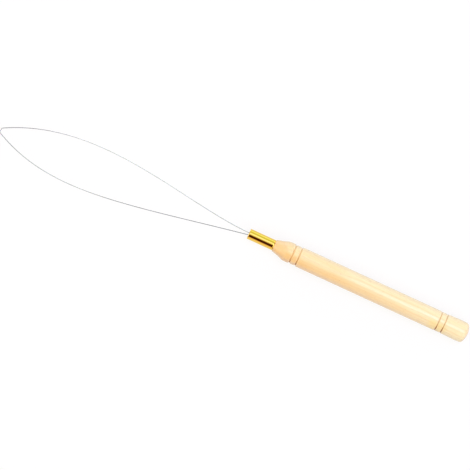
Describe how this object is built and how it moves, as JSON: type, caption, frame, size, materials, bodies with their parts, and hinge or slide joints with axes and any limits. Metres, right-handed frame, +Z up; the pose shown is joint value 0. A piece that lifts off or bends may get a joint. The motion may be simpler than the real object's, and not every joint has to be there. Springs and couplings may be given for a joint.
{
  "type": "hair extension loop tool",
  "caption": "Hand tool with a slender turned wooden handle, a brass ferrule and a long leaf-shaped loop of thin spring wire with a folded tip, for drawing hair through rings or braids.",
  "frame": {"origin": "middle of the underside of the bounding box, on the surface that the tool lies on", "axes": "+X along the handle towards its butt, with the loop's tip at -X; +Z up; +Y across, on the side of the loop's flatter leg"},
  "size_m": [0.255, 0.024, 0.0106],
  "materials": {
    "lacquered_wood": "pale close-grained wood, turned and clear lacquered, semi-gloss",
    "polished_brass": "drawn tube, bright polished",
    "spring_wire": "drawn stainless spring wire, bright",
    "cured_resin": "clear amber resin, glossy"
  },
  "bodies": {
    "root": {"handle": "lacquered_wood", "ferrule": "polished_brass", "wire_loop": "spring_wire", "adhesive_plug": "cured_resin"}
  },
  "joints": []
}
